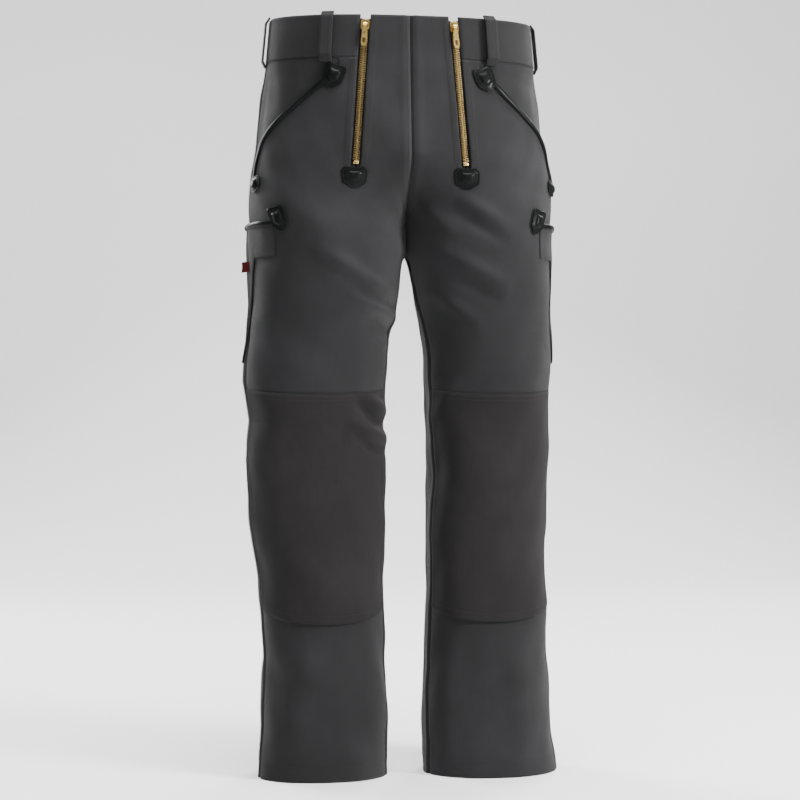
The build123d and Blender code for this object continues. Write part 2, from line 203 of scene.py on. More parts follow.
def lean(side, level, x):
    inner, outer = (np.interp(level, formLevels, formRows[:, i]) for i in range(2))
    across = np.clip((x - inner) / (outer - inner), 0, 1)
    inside = np.interp(level, legLean[:, 0], legLean[:, 1])
    outside = np.interp(level, legLean[:, 0], legLean[:, 2 if side < 0 else 3])
    return inside + (outside - inside) * across


edgeFade = 30.0


def meetingShare(phi, level):
    # 1 on the middle line above the crotch, where both halves are sewn together, 0 away from it
    edge = np.clip(1 - edgeFade * np.minimum(phi, 1 - phi), 0, 1)
    return edge, edge * ease(level, bodyForm["crotch"] - 17, bodyForm["crotch"])


def clothLift(side, phi, level, x):
    # the back cut takes the lift of the front cut where they meet inside the leg
    edge, joined = meetingShare(phi, level)
    fold = foldLift(side, phi, level, x)
    inside = foldLift(side, 0 * phi, level, planPoint(0 * phi, level)[0])
    fold = fold + (inside - fold) * np.where(phi > 0.5, edge, 0.0)
    return fold * (1 - joined) + seamLift(phi, level)


def skin(side, phi, level, lift=0.0, folded=True):
    # points on the cloth, in mm, for the wearer's left (1) or right (-1)
    phi, level = np.broadcast_arrays(np.asarray(phi, float), np.asarray(level, float))
    step = 0.004
    x, y = planPoint(phi, level)
    xBefore, yBefore = planPoint(phi - step, level)
    xAfter, yAfter = planPoint(phi + step, level)
    run, rise = xAfter - xBefore, yAfter - yBefore
    size = np.hypot(run, rise)
    sideways = 1.0
    if folded:
        lift = lift + clothLift(side, phi, level, x)
        sideways = 1 - meetingShare(phi, level)[1]
    x = np.maximum(x + sideways * lift * rise / size, 0.0 if folded else -1.0)
    y = y - lift * run / size
    z = level + bodyForm["waistSlope"] * ease(level, 900, bodyForm["waist"]) * y
    return np.stack([side * x + lean(side, level, x), y + bodyForm["shift"], z], axis=-1)


def phiOfX(x, level, back=False):
    # where on the front or the back the cloth lies x from the middle
    x, level = np.broadcast_arrays(np.asarray(x, float), np.asarray(level, float))
    low, high = np.zeros(x.shape), np.full(x.shape, 0.5)
    for _ in range(30):
        middle = (low + high) / 2
        short = planPoint(1 - middle if back else middle, level)[0] < x
        low, high = np.where(short, middle, low), np.where(short, high, middle)
    return 1 - low if back else low


def phiPerMm(phi, level):
    ahead = skin(1, phi + 0.01, level, 0, False) - skin(1, phi - 0.01, level, 0, False)
    return 0.02 / np.linalg.norm(ahead, axis=-1)


def normalAt(side, phi, level):
    across = skin(side, phi + 0.003, level) - skin(side, phi - 0.003, level)
    up = skin(side, phi, level + 2) - skin(side, phi, level - 2)
    normal = np.cross(across, up) * side
    return normal / np.linalg.norm(normal, axis=-1, keepdims=True)


def newNode(tree, kind, **settings):
    node = tree.nodes.new(kind)
    for key, value in settings.items():
        if hasattr(node, key):
            setattr(node, key, value)
        else:
            node.inputs[key.replace("_", " ")].default_value = value
    return node


def mathNode(tree, operation, first, second=None, third=None):
    node = tree.nodes.new("ShaderNodeMath")
    node.operation = operation
    for socket, value in zip(node.inputs, (first, second, third)):
        if value is None:
            continue
        if isinstance(value, (int, float)):
            socket.default_value = value
        else:
            tree.links.new(value, socket)
    return node.outputs[0]


def mixColour(tree, share, first, second):
    node = tree.nodes.new("ShaderNodeMix")
    node.data_type = "RGBA"
    for socket, value in ((node.inputs[0], share), (node.inputs[6], first), (node.inputs[7], second)):
        if hasattr(value, "is_linked"):
            tree.links.new(value, socket)
        else:
            socket.default_value = value
    return node.outputs[2]


def newGroup(name, inputs, outputs):
    group = bpy.data.node_groups.new(name, "ShaderNodeTree")
    for label, kind, value in inputs:
        socket = group.interface.new_socket(name=label, in_out="INPUT", socket_type=kind)
        if value is not None:
            socket.default_value = value
    for label, kind in outputs:
        group.interface.new_socket(name=label, in_out="OUTPUT", socket_type=kind)
    return group, group.nodes.new("NodeGroupInput"), group.nodes.new("NodeGroupOutput")


def objectTexture(tree, kind, output, **settings):
    # a texture fixed to the object's own space
    texture = newNode(tree, f"ShaderNodeTex{kind}", **settings)
    place = tree.nodes.new("ShaderNodeTexCoord").outputs["Object"]
    tree.links.new(place, texture.inputs["Vector"])
    return texture.outputs[output]


def objectNoise(tree, **settings):
    return objectTexture(tree, "Noise", "Fac", **settings)


def useGroup(tree, group, **settings):
    node = tree.nodes.new("ShaderNodeGroup")
    node.node_tree = group
    for key, value in settings.items():
        node.inputs[key].default_value = value
    return node.outputs


def twillGroup():
    # slanting ribs over single threads, with slubs and a worn, dusty cast in broad patches
    group, given, result = newGroup(
        "twillWeave",
        [("Ground", "NodeSocketColor", (0.05, 0.05, 0.055, 1)),
         ("Rib", "NodeSocketColor", (0.08, 0.08, 0.085, 1)),
         ("Worn", "NodeSocketColor", (0.12, 0.12, 0.12, 1)),
         ("Pitch", "NodeSocketFloat", 1.1), ("Slant", "NodeSocketFloat", 1.0),
         ("Streak", "NodeSocketFloat", 0.3)],
        [("Color", "NodeSocketColor"), ("Height", "NodeSocketFloat"), ("Roughness", "NodeSocketFloat")])
    maths = partial(mathNode, group)
    uv = newNode(group, "ShaderNodeUVMap", uv_map="clothUv")
    split = group.nodes.new("ShaderNodeSeparateXYZ")
    group.links.new(uv.outputs[0], split.inputs[0])
    turns = maths("DIVIDE", 2 * math.pi * 1000, given.outputs["Pitch"])
    u = maths("MULTIPLY", split.outputs[0], turns)
    v = maths("MULTIPLY", split.outputs[1], turns)
    slanted = maths("MULTIPLY_ADD", v, given.outputs["Slant"], u)
    rib = maths("MULTIPLY_ADD", maths("SINE", slanted), 0.5, 0.5)
    thread = maths("SINE", maths("MULTIPLY", v, 2.0))
    thread = maths("MULTIPLY_ADD", thread, 0.5, 0.5)
    slub = objectNoise(group, Scale=900.0, Detail=3.0, Roughness=0.7)
    streakMap = newNode(group, "ShaderNodeMapping")
    streakMap.inputs["Scale"].default_value = (260.0, 14.0, 1.0)
    group.links.new(uv.outputs[0], streakMap.inputs["Vector"])
    streak = newNode(group, "ShaderNodeTexNoise", Scale=1.0, Detail=4.0, Roughness=0.65)
    group.links.new(streakMap.outputs[0], streak.inputs["Vector"])
    patches = objectNoise(group, Scale=7.0, Detail=5.0, Roughness=0.6)
    height = maths("MULTIPLY_ADD", thread, 0.35, rib)
    height = maths("MULTIPLY_ADD", slub, 0.9, height)
    ribShare = maths("MULTIPLY_ADD", slub, 0.7, maths("MULTIPLY", rib, 0.45))
    body = mixColour(group, ribShare, given.outputs["Ground"], given.outputs["Rib"])
    streaks = maths("SUBTRACT", streak.outputs["Fac"], 0.42)
    streaks = maths("MULTIPLY", streaks, given.outputs["Streak"])
    worn = maths("MULTIPLY_ADD", maths("SUBTRACT", patches, 0.47), 1.3, streaks)
    worn = maths("MAXIMUM", worn, 0.0)
    colour = mixColour(group, worn, body, given.outputs["Worn"])
    rough = maths("MULTIPLY_ADD", slub, 0.2, 0.72)
    group.links.new(colour, result.inputs["Color"])
    group.links.new(height, result.inputs["Height"])
    group.links.new(rough, result.inputs["Roughness"])
    return group


def wearGroup():
    # a mask of rubbed corners, broken up so that it never runs as an even line
    group, given, result = newGroup(
        "rubbedEdges",
        [("Start", "NodeSocketFloat", 0.52), ("Spread", "NodeSocketFloat", 0.06),
         ("Break", "NodeSocketFloat", 300.0)],
        [("Mask", "NodeSocketFloat"), ("Grime", "NodeSocketFloat")])
    maths = partial(mathNode, group)
    point = group.nodes.new("ShaderNodeNewGeometry").outputs["Pointiness"]
    breakup = objectNoise(group, Detail=4.0, Roughness=0.6)
    group.links.new(given.outputs["Break"], breakup.node.inputs["Scale"])
    above = maths("SUBTRACT", point, given.outputs["Start"])
    edge = maths("DIVIDE", above, given.outputs["Spread"])
    edge = maths("MULTIPLY", edge, breakup)
    edge = maths("MINIMUM", maths("MAXIMUM", edge, 0.0), 1.0)
    dark = maths("SUBTRACT", 1.0, maths("MULTIPLY", point, 2.0))
    dark = maths("MAXIMUM", maths("MULTIPLY_ADD", breakup, 0.5, dark), 0.0)
    group.links.new(edge, result.inputs["Mask"])
    group.links.new(maths("MINIMUM", dark, 1.0), result.inputs["Grime"])
    return group


twillWeave = twillGroup()
rubbedEdges = wearGroup()


def newMaterial(name, roughness=0.7, **sockets):
    material = bpy.data.materials.new(name)
    material.use_nodes = True
    tree = material.node_tree
    shader = tree.nodes["Principled BSDF"]
    shader.inputs["Roughness"].default_value = roughness
    for key, value in sockets.items():
        shader.inputs[key.replace("_", " ")].default_value = value
    return material, tree, shader


def addBump(tree, shader, height, strength, distance):
    bump = newNode(tree, "ShaderNodeBump", Strength=strength, Distance=distance)
    tree.links.new(height, bump.inputs["Height"])
    tree.links.new(bump.outputs[0], shader.inputs["Normal"])


def clothMaterial(name, ground, rib, worn, pitch, slant, streak, bump, sheen):
    material, tree, shader = newMaterial(name, Sheen_Weight=sheen, Sheen_Roughness=0.5,
                                         Specular_IOR_Level=0.1)
    weave = useGroup(tree, twillWeave, Ground=(*ground, 1), Rib=(*rib, 1), Worn=(*worn, 1),
                     Pitch=pitch, Slant=slant, Streak=streak)
    tree.links.new(weave["Color"], shader.inputs["Base Color"])
    tree.links.new(weave["Roughness"], shader.inputs["Roughness"])
    addBump(tree, shader, weave["Height"], bump, 0.0004)
    return material


def leatherMaterial():
    material, tree, shader = newMaterial("blackLeather", 0.5, Specular_IOR_Level=0.045, Coat_Weight=0.05,
                                         Coat_Roughness=0.13)
    grain = objectTexture(tree, "Voronoi", "Distance", Scale=900.0)
    crease = objectNoise(tree, Scale=220.0, Detail=5.0, Roughness=0.6)
    wear = useGroup(tree, rubbedEdges, Start=0.53, Spread=0.1)
    colour = mixColour(tree, crease, (0.0012, 0.0015, 0.0015, 1), (0.0034, 0.0042, 0.004, 1))
    colour = mixColour(tree, wear["Mask"], colour, (0.012, 0.014, 0.013, 1))
    tree.links.new(colour, shader.inputs["Base Color"])
    rough = mathNode(tree, "MULTIPLY_ADD", crease, 0.3, 0.34)
    tree.links.new(rough, shader.inputs["Roughness"])
    height = mathNode(tree, "MULTIPLY_ADD", crease, 0.8, grain)
    addBump(tree, shader, height, 0.35, 0.0005)
    return material


def brassMaterial(name, dull, bright, roughness, breakup):
    material, tree, shader = newMaterial(name, roughness, Metallic=1.0)
    wear = useGroup(tree, rubbedEdges, Start=0.5, Spread=0.05, Break=breakup)
    tarnish = objectNoise(tree, Scale=breakup, Detail=4.0, Roughness=0.6)
    base = mixColour(tree, tarnish, (*dull, 1), (*bright, 1))
    colour = mixColour(tree, wear["Mask"], base, (*[min(1, 1.25 * c) for c in bright], 1))
    tree.links.new(colour, shader.inputs["Base Color"])
    rough = mathNode(tree, "MULTIPLY_ADD", tarnish, 0.25, roughness - 0.12)
    tree.links.new(rough, shader.inputs["Roughness"])
    addBump(tree, shader, tarnish, 0.15, 0.0002)
    return material


def threadMaterial(name, light, dark):
    material, tree, shader = newMaterial(name, 0.8, Specular_IOR_Level=0.1)
    twist = objectTexture(tree, "Wave", "Fac", Scale=700.0, Distortion=2.0)
    colour = mixColour(tree, twist, (*dark, 1), (*light, 1))
    tree.links.new(colour, shader.inputs["Base Color"])
    addBump(tree, shader, twist, 0.4, 0.0002)
    return material


materials = {
    "cloth": clothMaterial("charcoalTwill", (0.0064, 0.0065, 0.0070), (0.0130, 0.0128, 0.0138),
        (0.0235, 0.0235, 0.0255), 1.1, 1.0, 0.25, 0.5, 0.07),
    "knee": clothMaterial("kneeTwill", (0.0058, 0.0053, 0.0055), (0.0118, 0.0109, 0.0112),
        (0.019, 0.0178, 0.0178), 1.5, 0.0, 0.45, 0.8, 0.03),
    "lining": clothMaterial("blackLining", (0.004, 0.004, 0.0045), (0.008, 0.008, 0.009),
        (0.014, 0.014, 0.014), 0.6, 0.0, 0.1, 0.3, 0.05),
    "tape": clothMaterial("zipTape", (0.005, 0.005, 0.005), (0.011, 0.0105, 0.010),
        (0.02, 0.018, 0.016), 0.9, 0.0, 0.2, 0.6, 0.1),
    "label": clothMaterial("redWoven", (0.03, 0.003, 0.004), (0.085, 0.005, 0.007),
        (0.06, 0.012, 0.012), 0.5, 0.0, 0.1, 0.6, 0.1),
    "leather": leatherMaterial(),
    "chain": brassMaterial("antiqueBrass", (0.030, 0.020, 0.008), (0.17, 0.118, 0.048), 0.34, 420.0),
    "brass": brassMaterial("brightBrass", (0.22, 0.145, 0.035), (0.70, 0.50, 0.17), 0.22, 260.0),
    "thread": threadMaterial("charcoalThread", (0.036, 0.036, 0.038), (0.016, 0.016, 0.017)),
    "blackThread": threadMaterial("blackThread", (0.012, 0.013, 0.0125), (0.003, 0.003, 0.003)),
}
print("stage: materials made")


def sideName(side):
    return "left" if side > 0 else "right"


def toMesh(bm, name):
    mesh = bpy.data.meshes.new(name)
    bm.to_mesh(mesh)
    bm.free()
    return mesh


def addPiece(name, shape, material, slot, *replaced, smooth=True):
    # shape is a finished mesh, or the bmesh to make it from
    mesh = shape if isinstance(shape, bpy.types.Mesh) else toMesh(shape, name)
    piece = bpy.data.objects.new(name, mesh)
    bpy.context.scene.collection.objects.link(piece)
    mesh.materials.append(materials[material])
    if smooth:
        mesh.shade_smooth()
    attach(piece, "trousers")
    if replaced:
        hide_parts(*replaced)
    return piece


def thicken(piece, thickness):
    solidify = piece.modifiers.new("thickness", "SOLIDIFY")
    solidify.thickness = thickness * mm
    solidify.offset = -1.0
    solidify.use_even_offset = False


def addCloth(name, shape, replaced, thickness, material="cloth",
             slot="main_cloth"):
    # a cut of cloth, given its thickness in mm
    piece = addPiece(name, shape, material, slot, *replaced)
    thicken(piece, thickness)


def soften(piece, width, segments=2):
    bevel = piece.modifiers.new("softEdge", "BEVEL")
    bevel.width = width * mm
    bevel.segments = segments


def flatUv(across, up):
    return np.stack(np.broadcast_arrays(across, up), axis=-1)


def between(low, high, share):
    return low + (high - low) * share


def gridBmesh(side, points, uvs):
    # points and uvs are rows of places, in mm
    bm = bmesh.new()
    layer = bm.loops.layers.uv.new("clothUv")
    rows, columns = points.shape[:2]
    made = [[bm.verts.new(points[r, c] * mm) for c in range(columns)] for r in range(rows)]
    for r in range(rows - 1):
        for c in range(columns - 1):
            corners = [(r, c), (r, c + 1), (r + 1, c + 1), (r + 1, c)]
            if side < 0:
                corners.reverse()
            face = bm.faces.new([made[i][j] for i, j in corners])
            for loop, (i, j) in zip(face.loops, corners):
                loop[layer].uv = uvs[i, j] * mm
    return bm


def clothGrid(side, phis, levels, lift):
    points = skin(side, phis, levels, lift)
    steps = np.linalg.norm(np.diff(points, axis=1), axis=2)
    across = np.concatenate([np.zeros((len(points), 1)), np.cumsum(steps, axis=1)], axis=1)
    across = across - across[:, [across.shape[1] // 2]]
    return gridBmesh(side, points, flatUv(across, levels))


def spread(columns, rows):
    # phis in columns and levels or shares in rows, each given as start, end and count
    return np.linspace(*columns)[None, :], np.linspace(*rows)[:, None]


# How far beside a cut, in mm, the faces are split
cutReach = 6


def middleOf(face, side):
    # the middle of a face in mm, with x counted outwards from the middle of the garment
    middle = face.calc_center_median() / mm
    return side * middle.x, middle.y, middle.z


def cutAlong(bm, side, line):
    # extra edges along a line given as x and z on the front, so that a cut there is clean
    for (x1, z1), (x2, z2) in zip(line, line[1:]):
        low = (min(x1, x2) - cutReach, min(z1, z2) - cutReach)
        high = (max(x1, x2) + cutReach, max(z1, z2) + cutReach)
        near = []
        for face in bm.faces:
            x, _, z = middleOf(face, side)
            if low[0] < x < high[0] and low[1] < z < high[1]:
                near.append(face)
        geometry = set(near)
        for face in near:
            geometry.update(face.verts)
            geometry.update(face.edges)
        normal = Vector((side * (z2 - z1), 0, -(x2 - x1))).normalized()
        bmesh.ops.bisect_plane(bm, geom=list(geometry), dist=1e-6, plane_no=normal,
                               plane_co=Vector((side * x1, 0, z1)) * mm)


def deleteWhere(bm, side, test):
    gone = [face for face in bm.faces if test(*middleOf(face, side))]
    bmesh.ops.delete(bm, geom=gone, context="FACES")


def walkOf(points):
    # the way walked along a row of points, at each of them
    return np.concatenate([[0], np.cumsum(np.linalg.norm(np.diff(points, axis=0), axis=1))])


def atWalk(places, walk, rows):
    return np.stack([np.interp(places, walk, rows[:, i]) for i in range(rows.shape[1])], axis=1)


def smoothLine(points, count):
    # evenly spread points on a smooth curve through the given ones
    points = [np.array(p, float) for p in points]
    padded = [2 * points[0] - points[1], *points, 2 * points[-1] - points[-2]]
    out = []
    for a, b, c, d in zip(padded, padded[1:], padded[2:], padded[3:]):
        for t in np.linspace(0, 1, 24, endpoint=False):
            out.append(0.5 * (2 * b + (c - a) * t + (2 * a - 5 * b + 4 * c - d) * t**2
                              + (3 * b - a - 3 * c + d) * t**3))
    out.append(points[-1])
    out = np.array(out)
    walk = walkOf(out)
    return atWalk(np.linspace(0, walk[-1], count), walk, out)


stitchStore = {"thread": [], "blackThread": []}


def addStitches(store, points, normals, pitch=3.4, length=2.5):
    # single stitches spaced along a row of points in mm
    walk = walkOf(points)
    if walk[-1] < pitch:
        return
    places = np.arange(pitch / 2, walk[-1], pitch)
    middle, out = atWalk(places, walk, points), atWalk(places, walk, normals)
    along = atWalk(places + 0.4, walk, points) - atWalk(places - 0.4, walk, points)
    along = along / np.maximum(np.linalg.norm(along, axis=1, keepdims=True), 1e-6)
    stitchStore[store].append((middle, along, out, length))


def stitchCloth(side, phis, levels, lift=0.25, store="thread", pitch=3.4, length=2.5):
    phis, levels = np.broadcast_arrays(np.asarray(phis, float), np.asarray(levels, float))
    addStitches(store, skin(side, phis, levels, lift), normalAt(side, phis, levels), pitch, length)


def buildStitches():
    for store, rows in stitchStore.items():
        middle, along, out = (np.concatenate([row[i] for row in rows]) for i in range(3))
        half = np.concatenate([np.full((len(row[0]), 1), row[3] / 2) for row in rows])
        beside = np.cross(out, along)
        corners = [middle + along * half, middle - along * half, middle + beside * 0.42,
                   middle - beside * 0.42, middle + out * 0.4, middle - out * 0.4]
        verts = np.stack(corners, axis=1).reshape(-1, 3) * mm
        shape = [(0, 2, 4), (2, 1, 4), (1, 3, 4), (3, 0, 4), (2, 0, 5), (1, 2, 5), (3, 1, 5), (0, 3, 5)]
        faces = [tuple(6 * i + k for k in face) for i in range(len(middle)) for face in shape]
        mesh = bpy.data.meshes.new(store)
        mesh.from_pydata(verts.tolist(), [], faces)
        slot = "main_cloth" if store == "thread" else "black_leather"
        addPiece(f"stitching_{store}", mesh, store, slot)
        print("stitches", store, len(middle))


zipLine = {"topX": 62.0, "bottomX": 78.0, "topZ": 1074.0, "bottomZ": 862.0, "slot": 7.0, "tape": -2.6}
mouthLine = [(112, 989), (134, 969), (158, 949), (184, 924), (202, 899), (210, 872), (213, 842)]


def zipX(z, shift=0.0):
    share = (z - zipLine["bottomZ"]) / (zipLine["topZ"] - zipLine["bottomZ"])
    return zipLine["bottomX"] + (zipLine["topX"] - zipLine["bottomX"]) * share + shift


mouthCurve = smoothLine(mouthLine, 40)


def mouthZ(x):
    return np.interp(x, mouthCurve[:, 0], mouthCurve[:, 1])


# Distances of stitched rows from an edge, and the level of the row above the hem, in mm
doubleRow = (3, 9)
hemRow = 22.0
frontCloth = {"columns": 116, "rows": 280, "thickness": 1.5, "bandFoot": 1018.0}


def buildFrontCloth(side):
    # one cut of cloth from hem to waist, slit for the zip and cut away at the hip pocket
    phis, levels = spread((0, 0.5, frontCloth["columns"] + 1),
                          (0, bodyForm["waist"], frontCloth["rows"] + 1))
    x = planPoint(phis + 0 * levels, levels + 0 * phis)[0]
    beside = np.abs(x - zipX(levels))
    above = ease(levels, 862, 880)
    welt = 1.3 * bump(beside, 11, 5.0) * above
    bm = clothGrid(side, phis, levels, welt)
    foot = zipLine["bottomZ"] - 6
    for shift in (-zipLine["slot"], zipLine["slot"]):
        cutAlong(bm, side, [(zipX(foot, shift), foot - 2), (zipX(1090, shift), 1090)])
    cutAlong(bm, side, [tuple(p) for p in mouthCurve[::3]])
    def outside(px, py, pz):
        if py > bodyForm["shift"]:
            return False
        if pz > foot and abs(px - zipX(pz)) < zipLine["slot"] - 0.05:
            return True
        level = pz - bodyForm["waistSlope"] * ease(pz, 900, bodyForm["waist"]) * py
        if px > zipX(pz) and level > frontCloth["bandFoot"]:
            return True
        return pz > 842 and px > 100 and (pz > mouthZ(px) if px < 213 else True)
    deleteWhere(bm, side, outside)
    s = sideName(side)
    addCloth(f"front_cloth_{s}", bm, (f"front_panel_{s}", f"fly_flap_{s}"), frontCloth["thickness"])
    # topstitching beside the zip, the seams and the hem
    for shift in (-9.5, -15, 9.5, 15):
        zs = np.linspace(868, 1012 if shift > 0 else 1068, 60)
        stitchCloth(side, phiOfX(zipX(zs, shift), zs), zs, 1.2)
    levels = np.linspace(22, 745, 180)
    stitchCloth(side, outseamPhi(levels) - 4 * phiPerMm(0.47, levels), levels, 0.4)
    stitchCloth(side, inseamPhi(levels) + 4 * phiPerMm(0.05, levels), levels, 0.4)
    hemPhis = np.linspace(0.01, 0.49, 80)
    stitchCloth(side, hemPhis, np.full(80, hemRow))
    zs = np.linspace(800, 1068, 80)
    stitchCloth(side, 3.2 * phiPerMm(0.02, zs), zs, 0.45)


backCloth = {"columns": 84, "rows": 260, "thickness": 1.5}


def buildBackCloth(side):
    phis, levels = spread((0.5, 1, backCloth["columns"] + 1), (0, bodyForm["band"], backCloth["rows"] + 1))
    s = sideName(side)
    addCloth(f"back_cloth_{s}", clothGrid(side, phis, levels, 0.0), (f"back_panel_{s}",),
             backCloth["thickness"])
    levels = np.linspace(20, 1010, 260)
    for shift in doubleRow:
        stitchCloth(side, 0.5 + shift * phiPerMm(0.5, levels), levels, 0.6)
    for low, high, count in ((20, 745, 200), (760, 1010, 80)):
        levels = np.linspace(low, high, count)
        for shift in doubleRow:
            stitchCloth(side, 1 - shift * phiPerMm(0.98, levels), levels, 0.5)
    stitchCloth(side, np.linspace(0.51, 0.99, 80), np.full(80, hemRow))


waistband = {"thickness": 2.6, "lift": 0.35, "rows": 24}


def buildWaistband(side):
    s = sideName(side)
    levels = np.linspace(bodyForm["band"] + 0.4, bodyForm["waist"], waistband["rows"] + 1)[:, None]
    rise = (levels - bodyForm["band"]) / (bodyForm["waist"] - bodyForm["band"])
    roll = waistband["lift"] + 0.5 * np.sin(np.pi * np.clip(rise, 0, 1)) ** 0.5
    for label, start, end, columns, width in (("front", None, 0.5, 36, 177),
                                              ("back", 0.5, 1.0, 60, 240)):
        share = np.linspace(0, 1, columns + 1)[None, :]
        first = phiOfX(zipX(levels, zipLine["slot"]), levels) if start is None else start + 0 * levels
        phis = first + (end - first) * share
        addCloth(f"{label}_waistband_{s}_cloth", clothGrid(side, phis, levels, roll + 0 * phis),
                 (f"{label}_waistband_{s}",), waistband["thickness"])
        for level in (bodyForm["band"] + 3, bodyForm["waist"] - 4):
            low = float(phiOfX(zipX(level, 10), level)) if start is None else 0.505
            stitchCloth(side, np.linspace(low, end - 0.005, 80), np.full(80, level), 1.5)


liningThickness = 0.8


def buildLinings(side):
    s = sideName(side)
    liningSpans = {
        "waistband_lining": (0.17, 1.0, 1019, 1077, -2.8, 369, 58),
        "hem_facing": (0.004, 0.996, 0.6, 30, -2.4, 520, 30),
        "hip_pocket_bag": (0.16, 0.495, 770, 950, -6.5, 162, 180),
    }
    for node, (start, end, low, high, lift, width, length) in liningSpans.items():
        phis, levels = spread((start, end, 60), (low, high, 30))
        bm = gridBmesh(side, skin(side, phis, levels, lift), flatUv(phis * 500, levels))
        material, slot = ("cloth", "main_cloth") if node == "hem_facing" else ("lining", "lining")
        addCloth(f"{node}_{s}_cloth", bm, (f"{node}_{s}",), liningThickness,
                 material=material, slot=slot)


def buildHipFacing(side):
    # the cloth seen inside the hip pocket's mouth, which runs up into the waistband
    s = sideName(side)
    phis, levels = spread((0.13, 0.5, 60), (838, bodyForm["band"] + 0.5, 60))
    dip = ease(0.5 - phis, 0.0, 0.05) * ease(bodyForm["band"] - levels, 0, 30)
    bm = clothGrid(side, phis, levels, -0.3 - 3.2 * dip)
    deleteWhere(bm, side, lambda x, y, z: x < 98 or (x < 213 and z < mouthZ(x) - 22))
    addCloth(f"hip_facing_{s}", bm, (f"hip_pocket_facing_{s}",), 1.2)


def ringFaces(bm, rings):
    # the faces between closed rings of vertices, with the numbers of ring and corner
    made = []
    for i, (first, second) in enumerate(zip(rings, rings[1:])):
        for j in range(len(first)):
            k = (j + 1) % len(first)
            made.append((i, j, bm.faces.new([first[j], first[k], second[k], second[j]])))
    return made


def sweep(centres, normals, profile):
    # a tube with a flattened profile given as across and out, in mm
    along = np.gradient(centres, axis=0)
    along /= np.linalg.norm(along, axis=1, keepdims=True)
    across = np.cross(along, normals)
    across /= np.linalg.norm(across, axis=1, keepdims=True)
    bm = bmesh.new()
    layer = bm.loops.layers.uv.new("clothUv")
    rings = []
    for centre, out, beside in zip(centres, normals, across):
        rings.append([bm.verts.new((centre + beside * a + out * b) * mm) for a, b in profile])
    for i, j, face in ringFaces(bm, rings):
        for loop, uv in zip(face.loops, ((i, j), (i, j + 1), (i + 1, j + 1), (i + 1, j))):
            loop[layer].uv = (uv[1] * 0.001, uv[0] * 0.002)
    bm.faces.new(rings[0][::-1])
    bm.faces.new(rings[-1])
    bmesh.ops.recalc_face_normals(bm, faces=bm.faces)
    return bm


def oval(width, height, lift, count=14):
    turn = [2 * math.pi * i / count for i in range(count)]
    return [(width / 2 * math.cos(a), lift + height / 2 * math.sin(a)) for a in turn]


piping = {"width": 7.6, "height": 4.4, "lift": 1.4}


def buildPiping(side):
    z = mouthCurve[:, 1]
    level = z + bodyForm["waistSlope"] * ease(z, 900, bodyForm["waist"]) * 85
    phis = phiOfX(np.minimum(mouthCurve[:, 0], 213.5), level)
    centres = skin(side, phis, level, 0.0)
    normals = normalAt(side, phis, level)
    bm = sweep(centres, normals, oval(piping["width"], piping["height"], piping["lift"]))
    s = sideName(side)
    addPiece(f"hip_piping_{s}", bm, "leather", "black_leather", f"hip_pocket_piping_{s}")
    for shift in (5.0, 11.0):
        stitchCloth(side, phis - shift * 0.75 * phiPerMm(phis, level), level - shift * 0.66, 0.5)


patchPlan = {
    # place as x or phi and level, size in mm, turn in degrees, lift off the cloth and CAD node
    "zip": {"x": 79, "level": 846, "width": 37, "height": 30, "turn": 0, "lift": 0.6, "node": "zip_patch"},
    "hip": {"x": 107, "level": 991, "width": 30, "height": 37, "turn": 20, "lift": 1.6,
            "node": "hip_pocket_patch"},
    "ruler": {"x": 182, "level": 789, "width": 21, "height": 37, "turn": -16, "lift": 3.6,
              "node": "side_pocket_patch"},
    "side": {"phi": 0.438, "level": 842, "width": 31, "height": 24, "turn": 0, "lift": 2.0,
             "node": "side_patch"},
}


def shieldOutline(width, height, count=4):
    # cut corners at the top, straight flanks and a blunt point below
    half, cut = width / 2, width / 7
    corners = [(-half + cut, height / 2), (0, height * 0.46), (half - cut, height / 2),
               (half, height / 2 - cut), (half * 0.94, -height * 0.12), (half * 0.9, -height / 4),
               (cut * 0.8, -height / 2), (-cut * 0.8, -height / 2), (-half * 0.9, -height / 4),
               (-half * 0.94, -height * 0.12), (-half, height / 2 - cut)]
    out = []
    for i, corner in enumerate(corners):
        before, after = corners[i - 1], corners[(i + 1) % len(corners)]
        corner, before, after = (np.array(c, float) for c in (corner, before, after))
        soft = 0.14
        start, end = corner + (before - corner) * soft, corner + (after - corner) * soft
        for t in np.linspace(0, 1, count):
            out.append((1 - t) ** 2 * start + 2 * t * (1 - t) * corner + t**2 * end)
        out.append((end + after + (corner - after) * soft) / 2)
    return np.array(out)


def onCloth(side, plan, u, v, lift):
    # a place u across and v up from the middle of a patch
    if "phi" in plan:
        return skin(side, plan["phi"] + u * phiPerMm(plan["phi"], plan["level"]), plan["level"] + v, lift)
    return skin(side, phiOfX(plan["x"] + u, plan["level"] + v), plan["level"] + v, lift)


